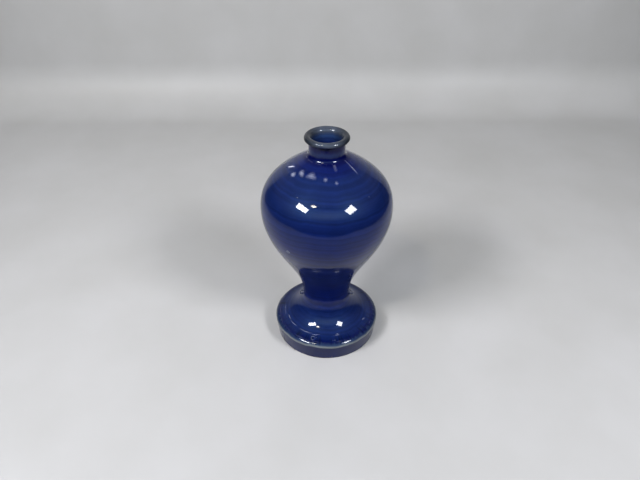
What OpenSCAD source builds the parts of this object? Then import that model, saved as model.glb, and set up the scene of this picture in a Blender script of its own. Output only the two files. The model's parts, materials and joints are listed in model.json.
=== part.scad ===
// Bud vase on a hollow pedestal foot, in glazed porcelain.
//
// The potter makes it from four thrown sections: pedestal, lower body, upper body and neck.
// They are luted together with slip at three stepped seams, and the whole is then glazed.
// Every piece is a revolve about Z. A face is a line of [radius, height] points, and the clay
// lies one coat of glaze behind each glazed face.

/* [Foot] */
// Diameter across the sharp edge round the top of the foot's side wall
foot_d = 72.4; // [66:0.2:90]
// Diameter of the side wall where it meets the table
foot_base_d = 69.8; // [64:0.2:86]
// Height of the side wall, table to sharp edge
foot_wall_h = 11.4; // [9.4:0.1:14]
// Diameter of the soft crest that the pedestal flares out to
crest_d = 63.6; // [56:0.2:78]
// Rise from the sharp edge to that crest
crest_rise = 2.9; // [2:0.1:4]
// Width of the flat ring that the vase stands on
ring_w = 3.6; // [2.6:0.1:5]
// Bevel on both edges of that ring
ring_bevel = 0.3; // [0.2:0.05:0.4]

/* [Stem] */
// Diameter of the waist, the narrowest place
waist_d = 31.8; // [26:0.2:39]
// Height from the crest of the foot to the waist
stem_h = 18.5; // [15:0.1:23]

/* [Body] */
// Largest diameter, at the belly
belly_d = 82.8; // [68:0.2:100]
// Height from the waist to the belly
lower_h = 69.1; // [57:0.1:83]
// Height from the belly to the foot of the straight neck
shoulder_h = 38; // [31:0.1:46]
// Slope of the shoulder where it runs into the neck, in degrees
shoulder_slope = 29.5; // [22:0.5:36]

/* [Neck and mouth] */
// Outside diameter of the neck
neck_d = 21.8; // [20:0.1:26]
// Height from the foot of the straight neck to the underside of the lip
neck_h = 6.9; // [5:0.1:9]
// Radius of the soft corner between shoulder and neck
neck_fillet = 3.5; // [2.5:0.1:4.5]
// Diameter of the straight throat, glazed
throat_d = 17.4; // [15:0.1:18]
// Outside diameter of the rolled lip
lip_d = 27; // [26.2:0.1:32]
// Diameter of the highest ring of the lip
lip_crest_d = 23.2; // [22:0.1:24]
// Height of the lip
lip_h = 3.2; // [2.7:0.1:4.5]
// Radius of the cove under the lip
lip_cove = 1.2; // [0.5:0.1:1.5]

/* [Clay and glaze] */
// Clay wall of the body
wall_t = 3; // [2.4:0.1:4]
// Clay wall of the pedestal
pedestal_t = 4; // [3.2:0.1:5]
// Clay floor between the inside of the body and the hollow of the pedestal
floor_t = 4; // [3:0.1:6]
// Coat of glaze
glaze_t = 0.35; // [0.2:0.05:0.6]
// Height of bare clay that the glaze leaves above the table
bare_h = 0.5; // [0.45:0.05:1.2]

/* [Luted seams] */
// Height of the waist seam above the waist
waist_seam_up = 3; // [1:0.1:5]
// Distance of the belly seam below the belly
belly_seam_down = 4; // [2:0.1:8]
// Distance of the neck seam below the lower end of the throat
neck_seam_down = 1; // [0.5:0.1:2]
// Step in each seam, which centres one section on the next
seam_step = 1.2; // [0.6:0.1:2]
// Thickness of the layer of slip in a seam
slip_t = 0.6; // [0.3:0.1:1]

/* [Hidden] */

porcelain = "#e6e2d6";
slip_clay = "#d8d2c2";
cobalt_glaze = "#1b2a5c";
clear_glaze = "#dfe4e2";

// How full each curve is, as the share of its span that the curve's handles take
foot_edge_pull = 0.3;    // sharp edge to crest, at the edge
crest_pull = 0.475;      // sharp edge to crest, at the crest
flare_crest_pull = 0.45; // crest to waist, at the crest
flare_waist_pull = 0.47; // crest to waist, at the waist
waist_pull = 0.352;      // waist to belly, at the waist
belly_low_pull = 0.375;  // waist to belly, at the belly
belly_high_pull = 0.36;  // belly to neck, at the belly
shoulder_pull = 0.85;    // belly to neck, at the neck
round_pull = 0.55;       // a quarter turn that is nearly a circle's
foot_edge_slope = 50;    // how steeply the foot leaves its sharp edge, in degrees
crest_slope = 8;         // slope of the foot's top at its crest, in degrees

foot_steps = 8;
flare_steps = 20;
body_steps = 26;
shoulder_steps = 24;
bead_steps = 7;
end_steps = 9;
smooth = 180; // segments round the vase

// Heights of the driving rings, from the table up
crest_z = foot_wall_h + crest_rise;
waist_z = crest_z + stem_h;
belly_z = waist_z + lower_h;
neck_z = belly_z + shoulder_h;
lip_z = neck_z + neck_h;
top_z = lip_z + lip_h;
waist_seam_z = waist_z + waist_seam_up;
belly_seam_z = belly_z - belly_seam_down;

neck_r = neck_d / 2;
throat_r = throat_d / 2;
lip_crest_r = lip_crest_d / 2;
lip_outer_bead = lip_d / 2 - lip_crest_r;
lip_under_bead = lip_h - lip_outer_bead;
mouth_roll = lip_crest_r - throat_r; // the roll from the lip's crest down into the throat
ring_inner_r = foot_base_d / 2 - glaze_t - 2 * ring_bevel - ring_w;

hollow_r = ring_inner_r - glaze_t;
hollow_round = 3; // height of the round where the hollow's roof turns down to the ring
dome_rise = 2;    // rise of the dome that closes the hollow in the stem
floor_round = 4;  // height of the round between the inside of the wall and the floor
dome_z = waist_seam_z + seam_step + slip_t + dome_rise;
floor_z = dome_z + 2 * glaze_t + floor_t;

/* Points and lines */
function lerp(a, b, t) = a + (b - a) * t;
function heading(a) = [cos(a), sin(a)];
function last(path) = path[len(path) - 1];
function tail(path) = [for (i = [1:len(path) - 1]) path[i]];
// The way that a path is going where it ends
function way_on(path) = let (v = last(path) - path[len(path) - 2]) v / norm(v);
function reversed(path) = [for (i = [len(path) - 1:-1:0]) path[i]];
// A cubic curve from a to b, with its two handles given as vectors from its ends
function curve(a, a_handle, b, b_handle, steps) =
    [for (i = [0:steps]) let (t = i / steps, u = 1 - t)
        u * u * u * a + 3 * u * u * t * (a + a_handle) + 3 * u * t * t * (b + b_handle) + t * t * t * b];
function arc(centre, r, from, to, steps) =
    [for (i = [0:steps]) centre + r * heading(lerp(from, to, i / steps))];
// The unit normal on the left of the piece of a path from point i to point i + 1
function left_normal(path, i) =
    let (v = path[i + 1] - path[i]) [-v.y, v.x] / norm(v);
// Beyond its ends, a path that stops on the axis runs on as its own mirror image
function end_normal(point, n) = abs(point.x) < 0.001 ? [-n.x, n.y] : n;
function normal_before(path, i) = i > 0 ? left_normal(path, i - 1) : end_normal(path[0], left_normal(path, 0));
function normal_after(path, i) =
    i < len(path) - 1 ? left_normal(path, i) : end_normal(path[i], left_normal(path, i - 1));
// A path moved to its left by d, with its corners mitred
function moved_left(path, d) =
    [for (i = [0:len(path) - 1]) let (a = normal_before(path, i), b = normal_after(path, i))
        path[i] + d * (a + b) / (1 + a * b)];
// Where a path first crosses a height
function at_height(path, z) =
    [for (i = [0:len(path) - 2]) let (a = path[i], b = path[i + 1])
        if (a.y != b.y && (a.y - z) * (b.y - z) <= 0) lerp(a, b, (z - a.y) / (b.y - a.y))][0];
// The part of a path that rises or falls from one height to another
function between(path, from, to) =
    concat([at_height(path, from)],
           [for (p = path) if (p.y > min(from, to) && p.y < max(from, to)) p],
           [at_height(path, to)]);

/* The glazed faces */
foot_edge = [foot_d / 2, foot_wall_h];
crest = [crest_d / 2, crest_z];
waist = [waist_d / 2, waist_z];
belly = [belly_d / 2, belly_z];
shoulder_end = [neck_r + neck_fillet, neck_z] - neck_fillet * heading(90 - shoulder_slope);
crest_span = norm(crest - foot_edge);

foot_wall = [lerp([foot_base_d / 2, 0], foot_edge, bare_h / foot_wall_h), foot_edge];
foot_top = curve(foot_edge, foot_edge_pull * crest_span * heading(180 - foot_edge_slope),
                 crest, crest_pull * crest_span * heading(-crest_slope), foot_steps);
flare = curve(crest, flare_crest_pull * (crest.x - waist.x) * heading(180 - crest_slope),
              waist, [0, -flare_waist_pull * stem_h], flare_steps);
lower_wall = curve(waist, [0, waist_pull * lower_h], belly, [0, -belly_low_pull * lower_h], body_steps);
upper_wall = curve(belly, [0, belly_high_pull * (shoulder_end.y - belly_z)], shoulder_end,
                   shoulder_pull * (belly.x - shoulder_end.x) / cos(shoulder_slope) * heading(-shoulder_slope),
                   shoulder_steps);
neck_foot = arc([neck_r + neck_fillet, neck_z], neck_fillet, 270 - shoulder_slope, 180, bead_steps);
under_lip = arc([neck_r + lip_cove, lip_z - lip_cove], lip_cove, 180, 90, bead_steps);
lip_under = arc([lip_crest_r + lip_outer_bead - lip_under_bead, lip_z + lip_under_bead],
                lip_under_bead, -90, 0, bead_steps);
lip_over = arc([lip_crest_r, top_z - lip_outer_bead], lip_outer_bead, 0, 90, bead_steps);
mouth = arc([lip_crest_r, top_z - mouth_roll], mouth_roll, 90, 180, bead_steps);

// The inside of the body lies one wall behind the outside, down to a rounded floor
body_skin_t = wall_t + 2 * glaze_t;
behind_body = reversed(moved_left(concat(lower_wall, tail(upper_wall)), body_skin_t));
cavity_wall = [for (p = behind_body) if (p.y > floor_z + floor_round && p.x > throat_r) p];
throat_end = [throat_r, cavity_wall[0].y + cavity_wall[0].x - throat_r];
wall_end = last(cavity_wall);
cavity_floor = curve(wall_end, round_pull * (wall_end.y - floor_z) * way_on(cavity_wall),
                     [0, floor_z], [round_pull * wall_end.x, 0], end_steps);

// The hollow of the pedestal lies one wall behind the flare, up to a shallow dome
pedestal_skin_t = pedestal_t + 2 * glaze_t;
behind_flare = moved_left(concat(flare, tail(lower_wall)), pedestal_skin_t);
hollow_side = [for (p = behind_flare) if (p.y < dome_z - dome_rise && p.x < hollow_r - hollow_round) p];
hollow_top = last(hollow_side);
hollow_dome = curve([0, dome_z], [round_pull * hollow_top.x, 0],
                    hollow_top, round_pull * (dome_z - hollow_top.y) * way_on(hollow_side), end_steps);
hollow_out = hollow_side[0];
hollow_foot = curve(hollow_out, round_pull * (hollow_r - hollow_out.x) * way_on(reversed(hollow_side)),
                    [hollow_r, hollow_out.y - hollow_round], [0, round_pull * hollow_round], end_steps);

outside = concat(foot_wall, tail(foot_top), tail(flare), tail(lower_wall), tail(upper_wall),
                 tail(neck_foot), under_lip);
outer_skin = concat(outside, lip_under, tail(lip_over), tail(mouth), [throat_end]);
inner_skin = concat([throat_end], cavity_wall, tail(cavity_floor));
recess_skin = concat(hollow_dome, tail(reversed(hollow_side)), tail(hollow_foot), [[hollow_r, bare_h]]);

/* The clay behind them */
clay = moved_left(concat(outer_skin, tail(inner_skin)), glaze_t);
outer_wall = [for (i = [0:len(outside) - 1]) clay[i]];
outer_clay = [for (i = [0:len(outer_skin) - 1]) clay[i]];
inner_clay = [for (i = [len(outer_skin) - 1:len(clay) - 1]) clay[i]];
recess_clay = moved_left(recess_skin, glaze_t);
neck_seam_z = inner_clay[0].y - neck_seam_down - slip_t - seam_step;

// The step in a seam, midway through the wall: along the underside of its slip, or lifted to the top
function seam_line(z, inside, lift) =
    let (outer = at_height(outer_wall, z + seam_step + slip_t), inner = at_height(inside, z + seam_step),
         step_r = (outer.x + inner.x) / 2 + lift)
    [[step_r, z + lift], [step_r, z + seam_step + lift]];
function slip_ring(z, inside) =
    concat(between(outer_wall, z, z + slip_t), seam_line(z, inside, slip_t),
           between(inside, z + seam_step + slip_t, z + seam_step), reversed(seam_line(z, inside, 0)));

module turned(points) rotate_extrude($fn = smooth) polygon(points);

// Hollow flared foot and stem, standing on a bare ring
module pedestal() color(porcelain)
    turned(concat([[ring_inner_r, ring_bevel], [ring_inner_r + ring_bevel, 0],
                   [ring_inner_r + ring_bevel + ring_w, 0]],
                  [outer_clay[0]], tail(between(outer_wall, outer_clay[0].y, waist_seam_z)),
                  seam_line(waist_seam_z, reversed(recess_clay), 0),
                  between(recess_clay, waist_seam_z + seam_step, last(recess_clay).y)));

module waist_slip() color(slip_clay) turned(slip_ring(waist_seam_z, recess_clay));

// Cone of the body, with the floor that closes the inside off from the pedestal's hollow
module lower_body() color(porcelain)
    turned(concat(reversed(seam_line(waist_seam_z, recess_clay, slip_t)),
                  between(outer_wall, waist_seam_z + slip_t, belly_seam_z),
                  seam_line(belly_seam_z, inner_clay, 0),
                  between(inner_clay, belly_seam_z + seam_step, last(inner_clay).y),
                  between(recess_clay, recess_clay[0].y, waist_seam_z + seam_step + slip_t)));

module belly_slip() color(slip_clay) turned(slip_ring(belly_seam_z, inner_clay));

// Dome of the body, open at the top for the neck
module upper_body() color(porcelain)
    turned(concat(reversed(seam_line(belly_seam_z, inner_clay, slip_t)),
                  between(outer_wall, belly_seam_z + slip_t, neck_seam_z),
                  seam_line(neck_seam_z, inner_clay, 0),
                  between(inner_clay, neck_seam_z + seam_step, belly_seam_z + seam_step + slip_t)));

module neck_slip() color(slip_clay) turned(slip_ring(neck_seam_z, inner_clay));

// Short neck with its straight throat and rolled lip
module neck() color(porcelain)
    turned(concat(reversed(seam_line(neck_seam_z, inner_clay, slip_t)),
                  [at_height(outer_wall, neck_seam_z + slip_t)],
                  [for (p = outer_clay) if (p.y > neck_seam_z + slip_t) p],
                  tail(between(inner_clay, inner_clay[0].y, neck_seam_z + seam_step + slip_t))));

// Cobalt glaze over the outside, the lip and the throat
module outer_glaze() color(cobalt_glaze) turned(concat(outer_skin, reversed(outer_clay)));

// The same glaze, poured inside
module inner_glaze() color(cobalt_glaze) turned(concat(inner_skin, reversed(inner_clay)));

// Clear glaze inside the pedestal
module recess_glaze() color(clear_glaze) turned(concat(recess_skin, reversed(recess_clay)));

pedestal();
waist_slip();
lower_body();
belly_slip();
upper_body();
neck_slip();
neck();
outer_glaze();
inner_glaze();
recess_glaze();
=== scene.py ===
"""A bud vase in cobalt-glazed porcelain, modelled round its frame and set in a small studio."""

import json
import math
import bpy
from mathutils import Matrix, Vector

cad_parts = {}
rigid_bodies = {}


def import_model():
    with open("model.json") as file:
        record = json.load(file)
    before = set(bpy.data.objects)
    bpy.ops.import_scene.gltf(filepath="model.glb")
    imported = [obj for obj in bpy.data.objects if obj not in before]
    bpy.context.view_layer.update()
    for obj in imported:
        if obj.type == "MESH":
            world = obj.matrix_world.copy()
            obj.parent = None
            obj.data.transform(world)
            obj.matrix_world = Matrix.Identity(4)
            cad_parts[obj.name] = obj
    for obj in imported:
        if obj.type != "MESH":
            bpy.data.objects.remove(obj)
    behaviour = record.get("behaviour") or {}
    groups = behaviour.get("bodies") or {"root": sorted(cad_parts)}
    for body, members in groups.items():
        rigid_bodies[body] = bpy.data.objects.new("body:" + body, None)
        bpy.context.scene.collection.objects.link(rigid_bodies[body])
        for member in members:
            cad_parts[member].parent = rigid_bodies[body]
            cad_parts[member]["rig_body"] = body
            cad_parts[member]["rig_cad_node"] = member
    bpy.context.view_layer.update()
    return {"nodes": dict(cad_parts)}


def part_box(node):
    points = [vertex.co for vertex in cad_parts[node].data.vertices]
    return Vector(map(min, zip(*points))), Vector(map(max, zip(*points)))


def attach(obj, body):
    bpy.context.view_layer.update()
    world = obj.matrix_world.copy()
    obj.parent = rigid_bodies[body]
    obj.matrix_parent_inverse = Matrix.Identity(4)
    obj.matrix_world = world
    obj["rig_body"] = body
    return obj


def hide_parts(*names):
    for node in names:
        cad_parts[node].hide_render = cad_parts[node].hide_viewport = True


bl_info = {
    "name": "Cobalt bud vase",
    "version": (1, 0, 0),
    "blender": (4, 5, 0),
    "location": "3D View > Sidebar > Vase",
    "description": "Models a glazed bud vase and the studio that it stands in",
    "category": "Add Mesh",
}

import bpy
from bpy.props import FloatProperty, FloatVectorProperty, IntProperty, PointerProperty
from bpy.types import Operator, Panel, PropertyGroup
from mathutils import Matrix, Vector
from mathutils.kdtree import KDTree

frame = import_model()

MM = 0.001
BODY = "root"
RUN = "run_mm"  # attribute: distance along the outline from the foot, in millimetres
MERGE = 0.001 * MM  # points closer than this are one point
CREASE = math.radians(35)  # edges sharper than this are shaded sharp
GLAZE_LOW, GLAZE_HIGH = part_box("outer_glaze")
INSIDE_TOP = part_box("inner_glaze")[1].z


def linear(hex_colour):
    """An sRGB hex colour such as "#1b2a5c" as linear red, green and blue."""
    parts = [int(hex_colour[i : i + 2], 16) / 255 for i in (1, 3, 5)]
    return [c / 12.92 if c <= 0.04045 else ((c + 0.055) / 1.055) ** 2.4 for c in parts]


def length(name, description, default):
    return FloatProperty(name=name, description=description, default=default, min=0, unit="LENGTH")


def share(name, description, default):
    return FloatProperty(
        name=name, description=description, default=default, min=0, max=2, subtype="FACTOR"
    )


def angle(name, description, degrees):
    return FloatProperty(name=name, description=description, default=math.radians(degrees), unit="ROTATION")


def colour(name, description, hex_colour):
    return FloatVectorProperty(
        name=name, description=description, default=linear(hex_colour), size=3, min=0, max=1,
        subtype="COLOR",
    )


class VaseSizes(PropertyGroup):
    """Sizes of the glazed outside, from the foot up."""

    foot_radius: length("Foot", "Radius at the sharp edge of the foot", 36.2 * MM)
    foot_base_radius: length("Foot base", "Radius of the foot's wall at the table", 34.9 * MM)
    foot_wall: length("Foot wall", "Height of the foot's sharp edge", 11.4 * MM)
    foot_edge_round: length("Foot edge round", "How far glaze rounds the sharp edge off", 0.45 * MM)
    foot_edge_slope: angle("Foot edge slope", "How steeply the foot leaves its sharp edge", 50)
    crest_radius: length("Crest", "Radius of the crest of the foot", 31.8 * MM)
    crest_rise: length("Crest rise", "Rise from the sharp edge to the crest", 2.9 * MM)
    crest_slope: angle("Crest slope", "Slope of the foot at its crest", 8)
    waist_radius: length("Waist", "Radius of the waist", 15.9 * MM)
    stem: length("Stem", "Height from the crest to the waist", 18.5 * MM)
    belly_radius: length("Belly", "Largest radius", GLAZE_HIGH.x)
    lower_body: length("Lower body", "Height from the waist to the belly", 69.1 * MM)
    shoulder: length("Shoulder", "Height from the belly to the straight neck", 38 * MM)
    shoulder_slope: angle("Shoulder slope", "Slope of the shoulder at the neck", 29.5)
    neck_radius: length("Neck", "Radius of the neck", 10.9 * MM)
    neck_fillet: length("Neck fillet", "Radius of the corner between shoulder and neck", 3.5 * MM)
    throat_radius: length("Throat", "Radius of the straight throat", 8.7 * MM)
    lip_radius: length("Lip", "Outside radius of the lip", 13.5 * MM)
    lip_crest_radius: length("Lip crest", "Radius of the highest ring of the lip", 11.6 * MM)
    lip_height: length("Lip height", "Height of the lip", 3.2 * MM)
    lip_cove: length("Lip cove", "Radius of the cove under the lip", 1.2 * MM)
    glaze: length("Glaze", "Thickness of the coat of glaze", 0.35 * MM)
    foot_edge_pull: share("Foot edge fullness", "Handle at the sharp edge, over the run to the crest", 0.3)
    crest_pull: share("Crest fullness", "Handle at the crest, over the same run", 0.475)
    flare_crest_pull: share("Flare fullness", "Handle at the crest, over the run in to the waist", 0.45)
    flare_waist_pull: share("Stem fullness", "Handle under the waist, over the stem", 0.47)
    waist_pull: share("Waist fullness", "Handle over the waist, over the lower body", 0.352)
    belly_low_pull: share("Belly fullness below", "Handle under the belly, over the lower body", 0.375)
    belly_high_pull: share("Belly fullness above", "Handle over the belly, over the rise to the neck", 0.36)
    shoulder_pull: share("Shoulder fullness", "Handle at the neck, over the slope of the shoulder", 0.85)
    outline_steps: IntProperty(name="Outline steps", description="Edges in each span", default=20, min=4)
    turn_steps: IntProperty(name="Turn steps", description="Faces round the vase", default=160, min=32)


class GlazeColours(PropertyGroup):
    """What the cobalt glaze looks like where it is thin, even and pooled."""

    bare_edge: colour("Bare edge", "Glaze that has run off a sharp edge", "#666b70")
    lip: colour("Lip", "Thin glaze over the lip", "#454b57")
    mouth: colour("Mouth", "Glaze thickening into the throat", "#2d4269")
    neck: colour("Neck", "Thin glaze on the upright neck", "#18264f")
    foot_side: colour("Foot side", "Thin glaze on the side of the foot", "#131c48")
    thin: colour("Thin", "Thin glaze behind the edge of the foot", "#222f4e")
    even: colour("Even", "Glaze of even thickness", "#142452")
    deep: colour("Deep", "Thick glaze", "#0c1a54")
    pooled: colour("Pooled", "Glaze pooled in a corner", "#050b42")
    gloss: share("Roughness", "Roughness of the fired surface", 0.03)
    haze: share("Haze", "Roughness of the bubbly glass under the surface", 0.42)


class StudioSettings(PropertyGroup):
    """The camera and the lamps."""

    camera_place: FloatVectorProperty(
        name="Camera", description="Place of the camera", default=(-4.3 * MM, -290.1 * MM, 285.4 * MM),
        size=3, subtype="TRANSLATION", unit="LENGTH",
    )
    camera_dip: angle("Camera dip", "How far the camera looks down", 35.96)
    camera_roll: angle("Camera roll", "Turn of the camera about its own axis", -0.25)
    focal_length: FloatProperty(name="Lens", description="Focal length in mm", default=30.7, min=10)
    lamp_distance: length("Lamp distance", "From the vase to the large lamps", 0.7)
    lamp_radiance: FloatProperty(
        name="Lamps", description="Brightness of the large lamps", default=40, min=0
    )
    room_light: FloatProperty(
        name="Room", description="Brightness of the room overhead", default=0.34, min=0
    )
    sheet_left: length("Sheet left", "From the vase to the left edge of the sheet", 0.46)
    sheet_right: length("Sheet right", "From the vase to the right edge of the sheet", 0.45)
    sheet_front: length("Sheet front", "From the vase to the front edge of the sheet", 0.296)
    sheet_back: length("Sheet back", "From the vase to where the sheet turns up", 0.415)
    sheet_front_right: length("Sheet front right", "From the vase to the right end of the front edge", 0.31)
    sheet_height: length("Sheet height", "Height of the upright part of the sheet", 0.9)
    sheet_bend: length("Sheet bend", "Radius of the bend in the sheet", 0.06)


# Nodes and materials

CERAMIC_IOR = 1.5
FACE_IOR = 1.37  # the glaze's face, set a little less bright than clean glass
BUBBLE_SHINE = 0.12  # how much of its usual shine the bubbly body keeps
BUBBLE_TINT = "#a8dcff"
NOISE_LOW, NOISE_HIGH = 0.3, 0.7  # nearly all of a noise lies between these
STREAK_PULL = 2.8  # how far streaks pull the bands behind the foot's edge, in millimetres
BAND_SWAY = 0.5  # how far every band sways round the vase, in millimetres
RING_WAVER = 1.5  # how far a throwing ring wavers round the vase, in millimetres
RINGS_PER_MM = 0.35
RING_DEPTH = 0.010 * MM
PEEL_DEPTH = 0.004 * MM
POURED_PEEL_DEPTH = 0.03 * MM  # poured glaze is wavier
PINHOLE_DEPTH = 0.08 * MM
GRIT_DEPTH = 0.08 * MM
DRY_GLOSS = 0.1  # roughness of the thinnest glaze


def every(size_mm):
    """The scale of a pattern whose features are about this many millimetres across."""
    return 1 / (size_mm * MM)


def add(tree, kind, inputs=None, stops=None, **settings):
    """Adds a node with its settings. Each input is given by name or number, as a value or a socket to link.
    A colour ramp also takes its stops, as (position, colour) with the lowest first."""
    made = tree.nodes.new("ShaderNode" + kind)
    for name, value in settings.items():
        setattr(made, name, value)
    for name, value in (inputs or {}).items():
        if isinstance(value, bpy.types.NodeSocket):
            tree.links.new(value, made.inputs[name])
        else:
            made.inputs[name].default_value = value
    if stops:
        elements = made.color_ramp.elements
        while len(elements) > 1:
            elements.remove(elements[-1])
        for i, (position, rgb) in enumerate(stops):
            stop = elements[0] if i == 0 else elements.new(position)
            stop.position = position
            stop.color = (*rgb, 1)
    return made


def surface(name, roughness):
    """A new material with one shader, and its node tree and shader."""
    material = bpy.data.materials.new(name)
    material.use_nodes = True
    tree = material.node_tree
    shader = tree.nodes["Principled BSDF"]
    shader.inputs["Roughness"].default_value = roughness
    shader.inputs["IOR"].default_value = CERAMIC_IOR
    return material, tree, shader


def glass_over(name, colours):
    """A material with a smooth glassy face over a hazy body full of tiny bubbles."""
    material, tree, shader = surface(name, colours.haze)
    shader.inputs["Specular IOR Level"].default_value = BUBBLE_SHINE
    shader.inputs["Specular Tint"].default_value = (*linear(BUBBLE_TINT), 1)
    shader.inputs["Coat Weight"].default_value = 1
    shader.inputs["Coat Roughness"].default_value = colours.gloss
    shader.inputs["Coat IOR"].default_value = FACE_IOR
    return material, tree, shader


def band(tree, value, start, full, fading, end):
    """A mask that rises from start to full and falls from fading to end."""
    rise = add(tree, "MapRange", {"Value": value, "From Min": start, "From Max": full}).outputs[0]
    fall = add(tree, "MapRange", {
        "Value": value, "From Min": fading, "From Max": end, "To Min": 1, "To Max": 0,
    }).outputs[0]
    return add(tree, "Math", {0: rise, 1: fall}, operation="MULTIPLY").outputs[0]


def cobalt_glaze(colours, run):
    """Cobalt glaze, dipped and fired: dark and glassy, it breaks to pale grey where it is thin over an edge
    and pools nearly black in corners. The throwing rings under it show as faint bands."""
    material, tree, shader = glass_over("Cobalt glaze, dipped and fired", colours)
    place = add(tree, "TexCoord").outputs["Object"]
    along = add(tree, "Attribute", attribute_name=RUN).outputs["Fac"]

    # Streaks and wavy edges follow the direction from the axis. Streaks are 2 mm wide at the foot's edge
    flat = add(tree, "VectorMath", {0: place, 1: (1, 1, 0)}, operation="MULTIPLY").outputs[0]
    around = add(tree, "VectorMath", {0: flat}, operation="NORMALIZE").outputs[0]
    streaks = add(tree, "TexNoise", {
        "Vector": around, "Scale": 17, "Detail": 4, "Roughness": 0.7,
    }).outputs["Fac"]
    drift = add(tree, "TexNoise", {"Vector": around, "Scale": 2.2, "Detail": 2}).outputs["Fac"]
    behind_edge = band(tree, along, run["foot_edge"] + 1.0, run["foot_edge"] + 2.6,
                       run["foot_edge"] + 5, run["foot_edge"] + 9)

    # Bands of thin and pooled glaze along the outline, pulled in and out by streaks and by a slow sway
    pull = add(tree, "MapRange", {
        "Value": streaks, "From Min": NOISE_LOW, "From Max": NOISE_HIGH,
        "To Min": -STREAK_PULL, "To Max": STREAK_PULL,
    }).outputs[0]
    ragged = add(tree, "Math", {0: pull, 1: behind_edge, 2: along}, operation="MULTIPLY_ADD").outputs[0]
    sway = add(tree, "MapRange", {
        "Value": drift, "From Min": NOISE_LOW, "From Max": NOISE_HIGH,
        "To Min": -BAND_SWAY, "To Max": BAND_SWAY,
    }).outputs[0]
    wavy = add(tree, "Math", {0: ragged, 1: sway}, operation="ADD").outputs[0]
    end = run["throat_end"]
    position = add(tree, "Math", {0: wavy, 1: end}, operation="DIVIDE").outputs[0]
    bands = add(tree, "ValToRGB", {"Fac": position},
                stops=[(at / end, rgb) for at, rgb in glaze_bands(colours, run)]).outputs["Color"]

    # Throwing rings: bands of slightly thicker and thinner glaze, about 3 mm wide
    ring_waver = add(tree, "MapRange", {
        "Value": drift, "To Min": -RING_WAVER, "To Max": RING_WAVER,
    }).outputs[0]
    ring_run = add(tree, "Math", {0: along, 1: ring_waver}, operation="ADD").outputs[0]
    rings = add(tree, "TexNoise", {
        "W": ring_run, "Scale": RINGS_PER_MM, "Detail": 4, "Roughness": 0.65,
    }, noise_dimensions="1D").outputs["Fac"]
    clouds = add(tree, "TexNoise", {
        "Vector": place, "Scale": every(9.1), "Detail": 6, "Roughness": 0.7,
    }).outputs["Fac"]
    ring_tone = add(tree, "MapRange", {
        "Value": rings, "From Min": NOISE_LOW, "From Max": NOISE_HIGH, "To Min": 0.78, "To Max": 1.22,
    }).outputs[0]
    cloud_tone = add(tree, "MapRange", {
        "Value": clouds, "From Min": NOISE_LOW, "From Max": NOISE_HIGH, "To Min": 0.88, "To Max": 1.12,
    }).outputs[0]
    tone = add(tree, "Math", {0: ring_tone, 1: cloud_tone}, operation="MULTIPLY").outputs[0]

    # Dark strokes behind the foot's edge, where streaks of thick glaze stopped
    stroke = add(tree, "MapRange", {
        "Value": streaks, "From Min": 0.5, "From Max": 0.62, "To Min": 1, "To Max": 0.35,
    }).outputs[0]
    stroke_tone = add(tree, "Mix", {"Factor": behind_edge, "A": 1.0, "B": stroke}).outputs["Result"]
    tone = add(tree, "Math", {0: tone, 1: stroke_tone}, operation="MULTIPLY").outputs[0]

    # Painted shade: the left and right of the lip are painted darker than its front and back, by their
    # distance across from the axis
    across = add(tree, "SeparateXYZ", {0: place}).outputs["X"]
    across = add(tree, "Math", {0: across}, operation="ABSOLUTE").outputs[0]
    lip_side_shade = add(tree, "MapRange", {
        "Value": across, "From Min": 4 * MM, "From Max": 11 * MM, "To Min": 1, "To Max": 0.3,
    }).outputs[0]
    on_lip = add(tree, "MapRange", {
        "Value": along, "From Min": run["cove_end"], "From Max": run["lip_under"] + 0.5,
    }).outputs[0]
    painted_lip_shade = add(tree, "Mix", {"Factor": on_lip, "A": 1.0, "B": lip_side_shade}).outputs["Result"]
    tone = add(tree, "Math", {0: tone, 1: painted_lip_shade}, operation="MULTIPLY").outputs[0]

    toned = add(tree, "VectorMath", {0: bands, "Scale": tone}, operation="SCALE").outputs[0]
    tree.links.new(add_marks(tree, place, toned), shader.inputs["Base Color"])

    # Thin glaze is pale and drier than thick: its surface scatters light more
    paleness = add(tree, "RGBToBW", {"Color": bands}).outputs[0]
    dry = add(tree, "MapRange", {
        "Value": paleness, "From Min": 0.055, "From Max": 0.12, "To Min": colours.gloss, "To Max": DRY_GLOSS,
    }).outputs[0]
    tree.links.new(dry, shader.inputs["Coat Roughness"])

    # Relief: rings, a faint orange peel, and pinholes where bubbles burst. Real peel is about 1 mm across,
    # too fine to show, so it is drawn coarser
    peel = add(tree, "TexNoise", {"Vector": place, "Scale": every(3.85), "Detail": 1}).outputs["Fac"]
    cells = add(tree, "TexVoronoi", {"Vector": place, "Scale": every(9.1)}).outputs["Distance"]
    pinholes = add(tree, "MapRange", {"Value": cells, "From Min": 0.02, "From Max": 0.05}).outputs[0]
    relief = add(tree, "Bump", {"Height": rings, "Distance": RING_DEPTH}).outputs[0]
    relief = add(tree, "Bump", {"Height": peel, "Distance": PEEL_DEPTH, "Normal": relief}).outputs[0]
    relief = add(tree, "Bump", {"Height": pinholes, "Distance": PINHOLE_DEPTH, "Normal": relief}).outputs[0]
    tree.links.new(relief, shader.inputs["Normal"])
    tree.links.new(relief, shader.inputs["Coat Normal"])
    return material


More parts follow.
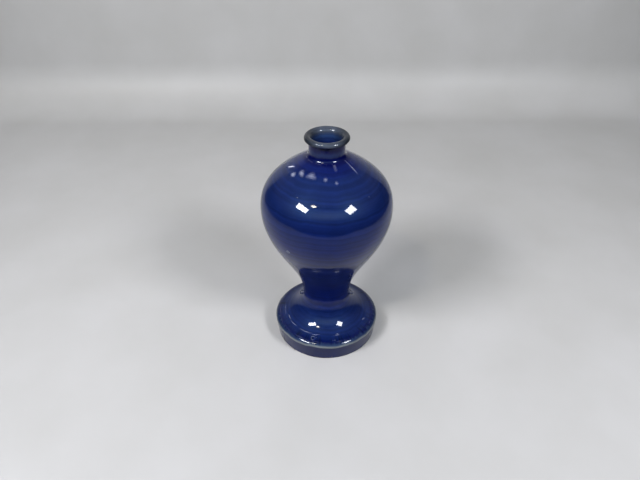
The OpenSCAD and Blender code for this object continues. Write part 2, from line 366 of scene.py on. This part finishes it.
def add_marks(tree, place, rgb):
    """Small kiln and handling marks: a rubbed, broken ring, pale and dark spots, and a chip at the foot."""
    grain = add(tree, "TexNoise", {"Vector": place, "Scale": every(1.11), "Detail": 2}).outputs["Fac"]
    for x, y, z, radius, width, hex_colour, strength in MARKS:
        centre = (x * MM, y * MM, z * MM)
        away = add(tree, "VectorMath", {0: place, 1: centre}, operation="DISTANCE").outputs["Value"]
        off = add(tree, "Math", {0: away, 1: radius * MM}, operation="SUBTRACT").outputs[0]
        off = add(tree, "Math", {0: off}, operation="ABSOLUTE").outputs[0]
        rough = add(tree, "Math", {0: grain, 1: -2 * width * MM, 2: off}, operation="MULTIPLY_ADD").outputs[0]
        mask = add(tree, "MapRange", {
            "Value": rough, "From Min": -0.4 * width * MM, "From Max": -1.1 * width * MM, "To Max": strength,
        }).outputs[0]
        rgb = add(tree, "Mix", {"Factor": mask, "A": rgb, "B": (*linear(hex_colour), 1)},
                  data_type="RGBA").outputs["Result"]
    return rgb


MARKS = (
    # place on the vase in mm, radius of the ring (0 for a spot) and width of its line in mm, colour,
    # strength
    (-9.3, -29.7, 14.4, 1.3, 0.6, "#8890a6", 0.5),
    (-7.9, -30.5, 14.2, 0.0, 2.6, "#14265c", 1.0),
    (-7.0, -29.4, 14.6, 0.0, 0.6, "#8890a6", 0.7),
    (5.5, -31.5, 14.3, 0.0, 0.7, "#8890a6", 0.6),
    (4.2, -31.8, 14.2, 0.0, 0.5, "#8890a6", 0.6),
    (-23.3, -31.8, 89.3, 0.9, 0.6, "#8a92a6", 0.7),
    (-20.0, -35.6, 95.1, 0.0, 0.5, "#8a92a6", 0.5),
    (3.5, -35.0, 1.6, 0.0, 1.2, "#6b5a40", 0.9),
    (-18.4, -24.3, 124.9, 0.0, 0.6, "#02030a", 1.0),
    (23.8, -23.4, 122.1, 0.0, 0.4, "#9aa0b0", 0.8),
)


def glaze_bands(c, run):
    """The colour of the glaze at distances along the outline from the foot to the throat, in millimetres
    before or after its knots. Glaze runs off a sharp edge, thins on an upright wall and pools in a corner."""
    edge, crest, waist, belly = run["foot_edge"], run["crest"], run["waist"], run["belly"]
    shoulder, neck, lip, mouth = run["shoulder_end"], run["neck_foot"], run["lip_outer"], run["mouth"]
    return [
        (0, c.pooled), (1.2, c.foot_side), (edge - 1.0, c.foot_side), (edge - 0.6, c.bare_edge),
        (edge + 0.4, c.bare_edge), (edge + 0.8, c.thin), (edge + 2.0, c.thin), (edge + 3.0, c.pooled),
        (edge + 4.0, c.deep), (edge + 5.5, c.even), (crest + 5, c.even), (waist - 8, c.even),
        (waist + 2, c.deep), (waist + 30, c.deep), (belly - 8, c.deep), (belly + 14, c.even),
        (shoulder - 11, c.even), (shoulder - 6, c.deep), (shoulder - 2.5, c.deep),
        (shoulder - 0.8, c.pooled), (neck - 0.4, c.pooled), (neck + 0.6, c.neck), (neck + 2.2, c.neck),
        # From 3.6 mm up the neck to under the lip, the pooled colour is painted shadow of the lip
        (neck + 3.6, c.pooled), (lip - 0.9, c.pooled), (lip - 0.2, c.lip),
        (mouth - 1.2, c.lip), (mouth + 1.5, c.mouth), (mouth + 7, c.deep),
    ]


def inside_glaze(colours):
    """The same cobalt glaze, poured inside: thick, even and deep."""
    material, tree, shader = glass_over("Cobalt glaze, poured inside", colours)
    place = add(tree, "TexCoord").outputs["Object"]
    pools = add(tree, "TexNoise", {"Vector": place, "Scale": every(16.7), "Detail": 3}).outputs["Fac"]
    ramp = add(tree, "ValToRGB", {"Fac": pools},
               stops=[(NOISE_LOW, colours.pooled), (NOISE_HIGH, colours.deep)])
    tree.links.new(ramp.outputs["Color"], shader.inputs["Base Color"])
    peel = add(tree, "TexNoise", {"Vector": place, "Scale": every(5), "Detail": 1}).outputs["Fac"]
    relief = add(tree, "Bump", {"Height": peel, "Distance": POURED_PEEL_DEPTH}).outputs[0]
    tree.links.new(relief, shader.inputs["Normal"])
    return material


def clear_glaze():
    """Clear glaze over white porcelain, in the hollow of the foot: cool white, faintly green where it is
    thick, with a few brown specks of iron."""
    material, tree, shader = surface("Clear glaze over porcelain", 0.08)
    place = add(tree, "TexCoord").outputs["Object"]
    pools = add(tree, "TexNoise", {"Vector": place, "Scale": every(22.2), "Detail": 3}).outputs["Fac"]
    ramp = add(tree, "ValToRGB", {"Fac": pools},
               stops=[(NOISE_LOW, linear("#c2cdc9")), (NOISE_HIGH, linear("#dcdfda"))])
    cells = add(tree, "TexVoronoi", {"Vector": place, "Scale": every(6.25)}).outputs["Distance"]
    specks = add(tree, "MapRange", {"Value": cells, "From Min": 0.03, "From Max": 0.07}).outputs[0]
    spotted = add(tree, "Mix", {"Factor": specks, "A": (*linear("#6b4a2c"), 1), "B": ramp.outputs["Color"]},
                  data_type="RGBA")
    tree.links.new(spotted.outputs["Result"], shader.inputs["Base Color"])
    peel = add(tree, "TexNoise", {"Vector": place, "Scale": every(4.55), "Detail": 1}).outputs["Fac"]
    relief = add(tree, "Bump", {"Height": peel, "Distance": POURED_PEEL_DEPTH}).outputs[0]
    tree.links.new(relief, shader.inputs["Normal"])
    return material


def biscuit(name, pale, dark):
    """Fired, unglazed clay: matt and chalky, with the grit of the kiln shelf and a warm iron flush.
    Real grit is about 0.1 mm across, too fine to show, so it is drawn coarser."""
    material, tree, shader = surface(name, 0.85)
    place = add(tree, "TexCoord").outputs["Object"]
    flush = add(tree, "TexNoise", {
        "Vector": place, "Scale": every(18.2), "Detail": 5, "Roughness": 0.6,
    }).outputs["Fac"]
    ramp = add(tree, "ValToRGB", {"Fac": flush}, stops=[(0.35, linear(dark)), (0.6, linear(pale))])
    tree.links.new(ramp.outputs["Color"], shader.inputs["Base Color"])
    grit = add(tree, "TexNoise", {
        "Vector": place, "Scale": every(0.556), "Detail": 3, "Roughness": 0.7,
    }).outputs["Fac"]
    relief = add(tree, "Bump", {"Height": grit, "Distance": GRIT_DEPTH}).outputs[0]
    tree.links.new(relief, shader.inputs["Normal"])
    return material


def pale_sheet():
    """A sheet of pale satin laminate: smooth, light grey and very slightly glossy."""
    material, tree, shader = surface("Pale laminate, satin", 0.5)
    place = add(tree, "TexCoord").outputs["Object"]
    mottle = add(tree, "TexNoise", {"Vector": place, "Scale": every(71.4), "Detail": 3}).outputs["Fac"]
    ramp = add(tree, "ValToRGB", {"Fac": mottle},
               stops=[(NOISE_LOW, linear("#b4b4b3")), (NOISE_HIGH, linear("#bababa"))])
    tree.links.new(ramp.outputs["Color"], shader.inputs["Base Color"])
    return material


def glow(name, rgb, radiance):
    """The face of a lamp, brightest in the middle and fading out at its edge."""
    material = bpy.data.materials.new(name)
    material.use_nodes = True
    tree = material.node_tree
    tree.nodes.remove(tree.nodes["Principled BSDF"])
    place = add(tree, "TexCoord").outputs["UV"]
    out = add(tree, "VectorMath", {0: place, 1: (0.5, 0.5, 0)}, operation="DISTANCE").outputs["Value"]
    fade = add(tree, "MapRange", {
        "Value": out, "From Min": 0.5, "From Max": 0.0, "To Min": 0, "To Max": radiance,
    }, interpolation_type="SMOOTHSTEP").outputs[0]
    light = add(tree, "Emission", {"Color": (*rgb, 1), "Strength": fade}).outputs[0]
    tree.links.new(light, tree.nodes["Material Output"].inputs["Surface"])
    return material


# Modelling


def deselect():
    if bpy.context.object and bpy.context.object.mode != "OBJECT":
        bpy.ops.object.mode_set(mode="OBJECT")
    bpy.ops.object.select_all(action="DESELECT")


def make_active(piece):
    deselect()
    piece.select_set(True)
    bpy.context.view_layer.objects.active = piece


def heading(turn, reach):
    """A vector of a given length in the plane of the outline, turned up from the outward direction."""
    return Vector((math.cos(turn), math.sin(turn))) * reach


def arc_reach(radius, turn):
    """The length of the handles that make one span of a curve an arc."""
    return 4 / 3 * math.tan(turn / 4) * radius


def knot(name, place, before=(0, 0), after=(0, 0)):
    """A named point of an outline as (radius, height), with the handles before and after it as vectors."""
    return name, Vector(place), Vector(before), Vector(after)


def outer_outline(s):
    """The knots of the glazed outside, from the table up the outside, over the lip and down the throat."""
    edge = Vector((s.foot_radius, s.foot_wall))
    crest = Vector((s.crest_radius, s.foot_wall + s.crest_rise))
    waist = Vector((s.waist_radius, crest.y + s.stem))
    belly = Vector((s.belly_radius, waist.y + s.lower_body))
    neck_z = belly.y + s.shoulder
    top_z = GLAZE_HIGH.z
    lip_z = top_z - s.lip_height
    up = math.pi / 2
    slope = s.shoulder_slope
    shoulder_end = Vector((s.neck_radius + s.neck_fillet, neck_z)) - heading(up - slope, s.neck_fillet)
    fillet = arc_reach(s.neck_fillet, up - slope)
    over = s.lip_radius - s.lip_crest_radius
    under = s.lip_height - over
    roll = s.lip_crest_radius - s.throat_radius
    over_reach, under_reach, roll_reach, cove_reach = (
        arc_reach(radius, up) for radius in (over, under, roll, s.lip_cove)
    )

    rise = edge - Vector((s.foot_base_radius, 0))
    base = Vector((s.foot_base_radius, 0)) + rise * GLAZE_LOW.z / s.foot_wall
    wall_way = rise.normalized()
    top_way = heading(math.pi - s.foot_edge_slope, 1)
    rounding = s.foot_edge_round
    span = (crest - edge).length
    crest_out = heading(-s.crest_slope, s.crest_pull * span)
    crest_in = heading(math.pi - s.crest_slope, s.flare_crest_pull * (crest.x - waist.x))
    shoulder_run = s.shoulder_pull * (belly.x - shoulder_end.x) / math.cos(slope)
    return [
        knot("foot", base),
        knot("foot_edge_low", edge - wall_way * rounding, (0, 0), wall_way * rounding * 0.6),
        knot("foot_edge", edge + top_way * rounding, top_way * rounding * -0.6,
             top_way * (s.foot_edge_pull * span - rounding)),
        knot("crest", crest, crest_out, crest_in),
        knot("waist", waist, (0, -s.flare_waist_pull * s.stem), (0, s.waist_pull * s.lower_body)),
        knot("belly", belly, (0, -s.belly_low_pull * s.lower_body),
             (0, s.belly_high_pull * (shoulder_end.y - belly.y))),
        knot("shoulder_end", shoulder_end, heading(-slope, shoulder_run), heading(math.pi - slope, fillet)),
        knot("neck_foot", (s.neck_radius, neck_z), (0, -fillet)),
        knot("cove", (s.neck_radius, lip_z - s.lip_cove), (0, 0), (0, cove_reach)),
        knot("cove_end", (s.neck_radius + s.lip_cove, lip_z), (-cove_reach, 0)),
        knot("lip_under", (s.lip_radius - under, lip_z), (0, 0), (under_reach, 0)),
        knot("lip_outer", (s.lip_radius, lip_z + under), (0, -under_reach), (0, over_reach)),
        knot("lip_crest", (s.lip_crest_radius, top_z), (over_reach, 0), (-roll_reach, 0)),
        knot("mouth", (s.throat_radius, top_z - roll), (0, roll_reach)),
        knot("throat_end", (s.throat_radius, INSIDE_TOP)),
    ]


def draw_outline(name, knots, steps):
    """Draws an outline as a curve in the XZ plane, and makes it a line of edges."""
    deselect()
    bpy.ops.curve.primitive_bezier_curve_add(enter_editmode=True)
    bpy.ops.curve.select_all(action="SELECT")
    bpy.ops.curve.subdivide(number_cuts=len(knots) - 2)
    bpy.ops.object.mode_set(mode="OBJECT")
    line = bpy.context.object
    line.name = name
    line.data.resolution_u = steps
    spline = line.data.splines[0]
    spline.resolution_u = steps
    for point, (_, place, before, after) in zip(spline.bezier_points, knots):
        point.handle_left_type = point.handle_right_type = "FREE"
        point.co = (place.x, 0, place.y)
        point.handle_left = (place.x + before.x, 0, place.y + before.y)
        point.handle_right = (place.x + after.x, 0, place.y + after.y)
    bpy.ops.object.convert(target="MESH")
    return bpy.context.object


def runs_of(line, knots, steps):
    """The distance along the outline in millimetres: at each of its vertices, and at each knot by name."""
    runs = [0.0]
    points = [v.co.copy() for v in line.data.vertices]
    for a, b in zip(points, points[1:]):
        runs.append(runs[-1] + (b - a).length / MM)
    return points, runs, {name: runs[i * steps] for i, (name, *_) in enumerate(knots)}


def write_runs(piece, points, runs):
    """Stores on each vertex how far along the outline the nearest point of the outline is."""
    tree = KDTree(len(points))
    for i, point in enumerate(points):
        tree.insert((point.x, 0, point.z), i)
    tree.balance()
    attribute = piece.data.attributes.new(RUN, "FLOAT", "POINT")
    for vertex in piece.data.vertices:
        co = vertex.co
        attribute.data[vertex.index].value = runs[tree.find((math.hypot(co.x, co.y), 0, co.z))[1]]


def turn(piece, steps):
    """Turns an outline about the axis of the vase into a closed surface that faces out."""
    make_active(piece)
    bpy.ops.object.mode_set(mode="EDIT")
    bpy.ops.mesh.select_all(action="SELECT")
    bpy.ops.mesh.spin(steps=steps, angle=math.tau, center=(0, 0, 0), axis=(0, 0, 1))
    bpy.ops.mesh.select_all(action="SELECT")
    bpy.ops.mesh.remove_doubles(threshold=MERGE)
    bpy.ops.mesh.normals_make_consistent(inside=False)
    bpy.ops.object.mode_set(mode="OBJECT")


def thicken(piece, thickness):
    """Gives a surface its thickness, inwards."""
    make_active(piece)
    coat = piece.modifiers.new("coat", "SOLIDIFY")
    coat.thickness = thickness
    coat.offset = -1
    coat.use_even_offset = True
    bpy.ops.object.modifier_apply(modifier=coat.name)


def finish_piece(piece, name, material, slot, *nodes):
    """Names a piece, smooths and paints it, and puts it in the frame for the nodes that it stands for."""
    make_active(piece)
    piece.name = name
    piece.data.name = name
    bpy.ops.object.shade_smooth_by_angle(angle=CREASE)
    piece.data.materials.clear()
    piece.data.materials.append(material)
    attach(piece, BODY)
    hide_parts(*nodes)


def smooth_copy(node):
    """A copy of a node from the frame, joined up so that it can be shaded smooth."""
    make_active(frame["nodes"][node])
    bpy.ops.object.duplicate()
    copy = bpy.context.object
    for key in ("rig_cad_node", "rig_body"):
        del copy[key]
    if copy.data.has_custom_normals:
        bpy.ops.mesh.customdata_custom_splitnormals_clear()
    bpy.ops.object.mode_set(mode="EDIT")
    bpy.ops.mesh.select_all(action="SELECT")
    bpy.ops.mesh.remove_doubles(threshold=MERGE)
    bpy.ops.object.mode_set(mode="OBJECT")
    return copy


class VASE_OT_glazed_outside(Operator):
    """Draws the outline of the vase, turns it and coats it in cobalt glaze"""

    bl_idname = "vase.glazed_outside"
    bl_label = "Glazed outside"

    def execute(self, context):
        sizes = context.scene.vase_sizes
        knots = outer_outline(sizes)
        piece = draw_outline("glazed_outside", knots, sizes.outline_steps)
        points, runs, run = runs_of(piece, knots, sizes.outline_steps)
        turn(piece, sizes.turn_steps)
        thicken(piece, sizes.glaze)
        write_runs(piece, points, runs)
        glaze = cobalt_glaze(context.scene.glaze_colours, run)
        finish_piece(piece, "glazed_outside", glaze, "cobalt_glaze", "outer_glaze")
        return {"FINISHED"}


class VASE_OT_glazed_inside(Operator):
    """Glazes the inside of the body"""

    bl_idname = "vase.glazed_inside"
    bl_label = "Glazed inside"

    def execute(self, context):
        piece = smooth_copy("inner_glaze")
        glaze = inside_glaze(context.scene.glaze_colours)
        finish_piece(piece, "glazed_inside", glaze, "cobalt_glaze", "inner_glaze")
        return {"FINISHED"}


class VASE_OT_foot(Operator):
    """Makes the bare foot and glazes its hollow"""

    bl_idname = "vase.foot"
    bl_label = "Foot and its hollow"

    def execute(self, context):
        foot = smooth_copy("pedestal")
        clay = biscuit("Porcelain biscuit, wheel-thrown", "#cfc6b6", "#a08c74")
        finish_piece(foot, "bare_foot", clay, "porcelain", "pedestal")
        hollow = smooth_copy("recess_glaze")
        finish_piece(hollow, "glazed_hollow", clear_glaze(), "clear_glaze", "recess_glaze")
        return {"FINISHED"}


class VASE_OT_clay_sections(Operator):
    """Gives the thrown sections under the glaze, and the slip that joins them, their fired clay"""

    bl_idname = "vase.clay_sections"
    bl_label = "Clay sections and slip"

    def execute(self, context):
        clay = biscuit("Porcelain clay, fired", "#dcd6c8", "#c9bfac")
        slip = biscuit("Luting slip, fired", "#cfc7b5", "#b8ab94")
        for material, nodes in (
            (clay, ("lower_body", "upper_body", "neck")),
            (slip, ("waist_slip", "belly_slip", "neck_slip")),
        ):
            for node in nodes:
                data = frame["nodes"][node].data
                data.materials.clear()
                data.materials.append(material)
        return {"FINISHED"}


# The studio

BEND_STEPS = 24
SENSOR_WIDTH = 36  # in millimetres, as in a full-frame camera
LAMP_TINT = "#fdfcff"
DOT_TINT = "#f4f6ff"
LARGE_LAMPS = (
    # name, azimuth and elevation from the vase, width and height as seen from it and roll, all in degrees,
    # and strength
    ("lamp_left", -51.4, 39.5, 19.5, 9.2, -5, 1.15),
    ("lamp_right", 47.3, 37.3, 15.3, 12.6, 17, 0.85),
)
SMALL_LAMPS = (
    # azimuth and elevation from the vase, length, breadth and roll, all in degrees, distance in metres,
    # brightness and tint: a warm lamp, a wide dim fill in front, then the lamps that dot the shoulder
    (-32, 51.5, 12, 6, 0, 2.6, 70, "#fff3dc"),
    (0, 36, 100, 36, 0, 1.6, 1.3, "#d3f0ff"),
    (-142, 20, 22, 1.5, 60, 0.45, 12, DOT_TINT),
    (-127, 34.5, 16, 4, 50, 2.6, 9, DOT_TINT),
    (-119.5, 47, 20, 4, 50, 2.6, 10, DOT_TINT),
    (-101, 65, 26, 5, 62, 2.6, 10, DOT_TINT),
    (-20, 84, 10, 4, 16, 2.6, 9, DOT_TINT),
    (68, 74, 8, 4, 130, 2.6, 8, DOT_TINT),
    (105, 73, 11, 4, 102, 2.6, 4.5, DOT_TINT),
    (128, 39, 5, 11, 90, 2.6, 5.5, DOT_TINT),
)


def direction(azimuth, elevation):
    """The way from the vase to a lamp: azimuth 0 is towards the front, and positive to the right."""
    a, e = math.radians(azimuth), math.radians(elevation)
    return Vector((math.sin(a) * math.cos(e), -math.cos(a) * math.cos(e), math.sin(e)))


def facing(way, roll):
    """The turn of a lamp that shines back along a direction."""
    aim = way.to_track_quat("Z", "Y").to_matrix()
    return (aim @ Matrix.Rotation(math.radians(roll), 3, "Z")).to_euler()


def seen_size(distance, degrees):
    """The size of a lamp that looks so many degrees across from a distance."""
    return 2 * distance * math.tan(math.radians(degrees / 2))


class VASE_OT_studio(Operator):
    """Sets up the pale sheet, the lamps, the room and the camera"""

    bl_idname = "vase.studio"
    bl_label = "Studio"

    def execute(self, context):
        studio = context.scene.vase_studio
        self.sheet(studio)
        self.lamps(studio)
        self.room(context.scene, studio)
        self.camera(context.scene, studio)
        return {"FINISHED"}

    def sheet(self, studio):
        """A flat sheet that turns up into a backdrop behind the vase."""
        deselect()
        width = studio.sheet_left + studio.sheet_right
        depth = studio.sheet_front + studio.sheet_back
        bpy.ops.mesh.primitive_plane_add(size=1)
        sheet = bpy.context.object
        sheet.name = "pale_sheet"
        bpy.ops.object.mode_set(mode="EDIT")
        bpy.ops.transform.resize(value=(width, depth, 1))
        middle_x = (studio.sheet_right - studio.sheet_left) / 2
        middle_y = (studio.sheet_back - studio.sheet_front) / 2
        bpy.ops.transform.translate(value=(middle_x, middle_y, 0))
        bpy.ops.mesh.select_mode(type="EDGE")
        bpy.ops.object.mode_set(mode="OBJECT")
        for corner in sheet.data.vertices:
            if corner.co.y < 0 < corner.co.x:
                corner.co.x = studio.sheet_front_right
        self.select_back_edge(sheet, studio.sheet_back)
        bpy.ops.object.mode_set(mode="EDIT")
        bpy.ops.mesh.extrude_region_move(TRANSFORM_OT_translate={"value": (0, 0, studio.sheet_height)})
        bpy.ops.object.mode_set(mode="OBJECT")
        self.select_back_edge(sheet, studio.sheet_back)
        bpy.ops.object.mode_set(mode="EDIT")
        bpy.ops.mesh.bevel(offset=studio.sheet_bend, segments=BEND_STEPS, affect="EDGES")
        bpy.ops.object.mode_set(mode="OBJECT")
        bpy.ops.object.shade_smooth()
        sheet.data.materials.append(pale_sheet())

    def select_back_edge(self, sheet, back):
        """Selects only the edge along the back of the sheet, at table height."""
        near = 0.001
        for edge in sheet.data.edges:
            ends = [sheet.data.vertices[i].co for i in edge.vertices]
            edge.select = all(abs(p.y - back) < near and abs(p.z) < near for p in ends)
        for vertex in sheet.data.vertices:
            vertex.select = abs(vertex.co.y - back) < near and abs(vertex.co.z) < near
        for face in sheet.data.polygons:
            face.select = False

    def lamps(self, studio):
        """Two large soft lamps, and small ones overhead and behind that dot the shoulder."""
        target = Vector((0, 0, GLAZE_HIGH.z * 0.75))  # on the axis, just over the belly
        distance = studio.lamp_distance
        for name, azimuth, elevation, width, height, roll, strength in LARGE_LAMPS:
            way = direction(azimuth, elevation)
            deselect()
            bpy.ops.object.light_add(
                type="AREA", location=target + way * distance, rotation=facing(way, roll)
            )
            lamp = bpy.context.object
            lamp.name = name
            lamp.data.shape = "RECTANGLE"
            lamp.data.size = seen_size(distance, width)
            lamp.data.size_y = seen_size(distance, height)
            area = lamp.data.size * lamp.data.size_y
            lamp.data.energy = strength * studio.lamp_radiance * math.pi * area
            lamp.data.color = linear(LAMP_TINT)
        for number, row in enumerate(SMALL_LAMPS, 1):
            azimuth, elevation, long, broad, roll, distance, radiance, tint = row
            way = direction(azimuth, elevation)
            deselect()
            bpy.ops.mesh.primitive_plane_add(
                size=1, location=target + way * distance, rotation=facing(way, roll)
            )
            lamp = bpy.context.object
            lamp.name = f"small_lamp_{number}"
            lamp.scale = (seen_size(distance, long), seen_size(distance, broad), 1)
            bpy.ops.object.transform_apply(location=False, rotation=False, scale=True)
            lamp.data.materials.append(glow(lamp.name, linear(tint), radiance))
            lamp.visible_camera = False

    def room(self, scene, studio):
        """A dim room: dark round the horizon and paler overhead. The camera itself sees a plain pale grey."""
        world = bpy.data.worlds.new("room")
        scene.world = world
        world.use_nodes = True
        tree = world.node_tree
        way = add(tree, "TexCoord").outputs["Generated"]
        height = add(tree, "SeparateXYZ", {0: way}).outputs["Z"]
        ramp = add(tree, "ValToRGB", {"Fac": height}, stops=[
            (0.0, linear("#272729")), (0.17, linear("#38383b")), (0.4, linear("#bcbcbf")),
            (1.0, linear("#cbcdd0")),
        ])
        light = add(tree, "Background", {
            "Color": ramp.outputs["Color"], "Strength": studio.room_light,
        }).outputs[0]
        seen = add(tree, "Background", {"Color": (*linear("#b4b6b9"), 1)}).outputs[0]
        camera_ray = add(tree, "LightPath").outputs["Is Camera Ray"]
        both = add(tree, "MixShader", {0: camera_ray, 1: light, 2: seen}).outputs[0]
        tree.links.new(both, tree.nodes["World Output"].inputs["Surface"])
        scene.view_settings.view_transform = "Standard"
        scene.view_settings.look = "Medium High Contrast"

    def camera(self, scene, studio):
        """A camera in front of the vase and above it, that looks down at it."""
        deselect()
        turn_down = Matrix.Rotation(math.pi / 2 - studio.camera_dip, 3, "X")
        roll = Matrix.Rotation(studio.camera_roll, 3, "Z")
        bpy.ops.object.camera_add(location=studio.camera_place, rotation=(turn_down @ roll).to_euler())
        scene.camera = bpy.context.object
        scene.camera.name = "camera"
        scene.camera.data.sensor_width = SENSOR_WIDTH
        scene.camera.data.lens = studio.focal_length
        scene.camera.data.clip_start = 0.01


OPERATORS = (
    VASE_OT_studio,
    VASE_OT_glazed_outside,
    VASE_OT_glazed_inside,
    VASE_OT_foot,
    VASE_OT_clay_sections,
)


class VASE_PT_sidebar(Panel):
    """Lists the pieces of the vase and their sizes and colours"""

    bl_idname = "VASE_PT_sidebar"
    bl_label = "Bud vase"
    bl_space_type = "VIEW_3D"
    bl_region_type = "UI"
    bl_category = "Vase"

    def draw(self, context):
        for operator in OPERATORS:
            self.layout.operator(operator.bl_idname)
        for group in (context.scene.vase_sizes, context.scene.glaze_colours, context.scene.vase_studio):
            box = self.layout.box()
            for name in group.__annotations__:
                box.prop(group, name)


CLASSES = (VaseSizes, GlazeColours, StudioSettings, *OPERATORS, VASE_PT_sidebar)


def register():
    for cls in CLASSES:
        bpy.utils.register_class(cls)
    bpy.types.Scene.vase_sizes = PointerProperty(type=VaseSizes)
    bpy.types.Scene.glaze_colours = PointerProperty(type=GlazeColours)
    bpy.types.Scene.vase_studio = PointerProperty(type=StudioSettings)


def unregister():
    del bpy.types.Scene.vase_sizes
    del bpy.types.Scene.glaze_colours
    del bpy.types.Scene.vase_studio
    for cls in reversed(CLASSES):
        bpy.utils.unregister_class(cls)


def main():
    register()
    bpy.ops.vase.studio()
    bpy.ops.vase.glazed_outside()
    bpy.ops.vase.glazed_inside()
    bpy.ops.vase.foot()
    bpy.ops.vase.clay_sections()


if __name__ == "__main__":
    main()
